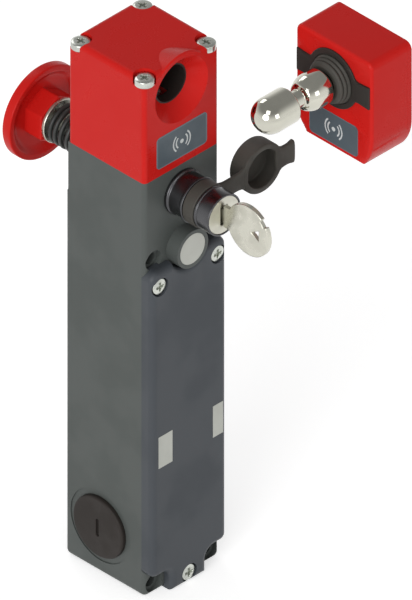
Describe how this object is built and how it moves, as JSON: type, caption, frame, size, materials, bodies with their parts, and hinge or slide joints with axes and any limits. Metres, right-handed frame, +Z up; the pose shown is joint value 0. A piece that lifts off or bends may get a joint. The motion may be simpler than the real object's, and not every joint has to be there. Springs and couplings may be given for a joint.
{
  "type": "guard locking switch",
  "caption": "Guard locking switch with a funnel socket and latch disc, key release, sprung escape button at the back and a separate coded pin actuator.",
  "frame": {"origin": "centre of the four mounting holes, on the flat back face", "axes": "+Z up along the body, +Y out of the back face towards the mounting wall, -Y out of the front towards the key and the socket's mouth, +X to the right seen from the front"},
  "size_m": [0.0895, 0.1361, 0.2434],
  "materials": {
    "casting": "satin",
    "cover": "satin",
    "red_plastic": "gloss",
    "dark_plastic": "matte",
    "label": "satin",
    "pale_plastic": "satin",
    "zinc_steel": "satin",
    "nickel": "polished",
    "dark_chrome": "polished",
    "rubber": "matte",
    "spring_black": "satin",
    "copper_winding": "satin",
    "board_green": "satin",
    "brass": "satin"
  },
  "bodies": {
    "switch": {"main_housing": "casting", "front_cover": "cover", "cover_gasket": "rubber", "cover_screws": "zinc_steel", "status_windows": "pale_plastic", "head_housing": "red_plastic", "head_gasket": "rubber", "head_screws": "zinc_steel", "head_label": "label", "socket_liner": "dark_plastic", "antenna_board": "board_green", "latch_axle": "zinc_steel", "solenoid_coil": "copper_winding", "solenoid_yoke": "zinc_steel", "rod_spring": "zinc_steel", "contact_block": "dark_plastic", "circuit_board": "board_green", "board_posts": "brass", "terminal_block": "pale_plastic", "blanking_plug": "pale_plastic", "cable_plug_left": "dark_plastic", "cable_plug_right": "dark_plastic", "plug_seals": "rubber", "lock_bezel": "dark_chrome", "cap_strap": "rubber", "lock_barrel": "dark_chrome", "lock_nut": "brass", "button_bush": "zinc_steel", "button_spring": "spring_black"},
    "latch": {"latch_disc": "zinc_steel"},
    "rod": {"locking_rod": "zinc_steel", "solenoid_plunger": "zinc_steel"},
    "core": {"lock_core": "nickel", "lock_cam": "zinc_steel", "cam_nut": "brass"},
    "key_body": {"key": "nickel"},
    "cap": {"dust_cap": "rubber"},
    "button": {"button_shaft": "zinc_steel", "button_washer": "nickel", "escape_button": "red_plastic"},
    "actuator": {"actuator_housing": "red_plastic", "actuator_plate": "red_plastic", "actuator_band": "dark_plastic", "actuator_label": "label", "transponder_tag": "dark_plastic", "actuator_boot": "rubber"},
    "pin": {"actuator_pin": "nickel"}
  },
  "joints": [
    {"name": "rod_slide", "type": "slide", "parent": "switch", "child": "rod", "axis": [0, 0, 1], "range_m": [0, 0.004], "stiffness_N_per_m": 150, "springref_m": -0.004, "deforming": ["rod_spring"]},
    {"name": "latch_turn", "type": "hinge", "parent": "switch", "child": "latch", "pos_m": [0, -0.0205, 0.1315], "axis": [-1, 0, 0], "range_deg": [0, 50], "stiffness_Nm_per_rad": 0.02},
    {"name": "core_turn", "type": "hinge", "parent": "switch", "child": "core", "pos_m": [0, -0.05, 0.1], "axis": [0, 1, 0], "range_deg": [0, 90]},
    {"name": "key_slide", "type": "slide", "parent": "core", "child": "key_body", "axis": [0, -1, 0], "range_m": [0, 0.025]},
    {"name": "cap_swing", "type": "hinge", "parent": "switch", "child": "cap", "pos_m": [0.018, -0.0537, 0.1], "axis": [0, 0, -1], "range_deg": [0, 90], "stiffness_Nm_per_rad": 0.01, "deforming": ["cap_strap"]},
    {"name": "button_press", "type": "slide", "parent": "switch", "child": "button", "axis": [0, -1, 0], "range_m": [0, 0.006], "stiffness_N_per_m": 800, "springref_m": -0.003, "deforming": ["button_spring"]},
    {"name": "guard_swing", "type": "hinge", "parent": "switch", "child": "actuator", "pos_m": [0.0205, -0.0575, 0.147], "axis": [0, 0, 1], "range_deg": [-90, 0]},
    {"name": "pin_tilt", "type": "hinge", "parent": "actuator", "child": "pin", "pos_m": [0.0515, -0.078, 0.147], "axis": [0, 0, 1], "range_deg": [-5, 5], "stiffness_Nm_per_rad": 0.5, "deforming": ["actuator_boot"]}
  ]
}
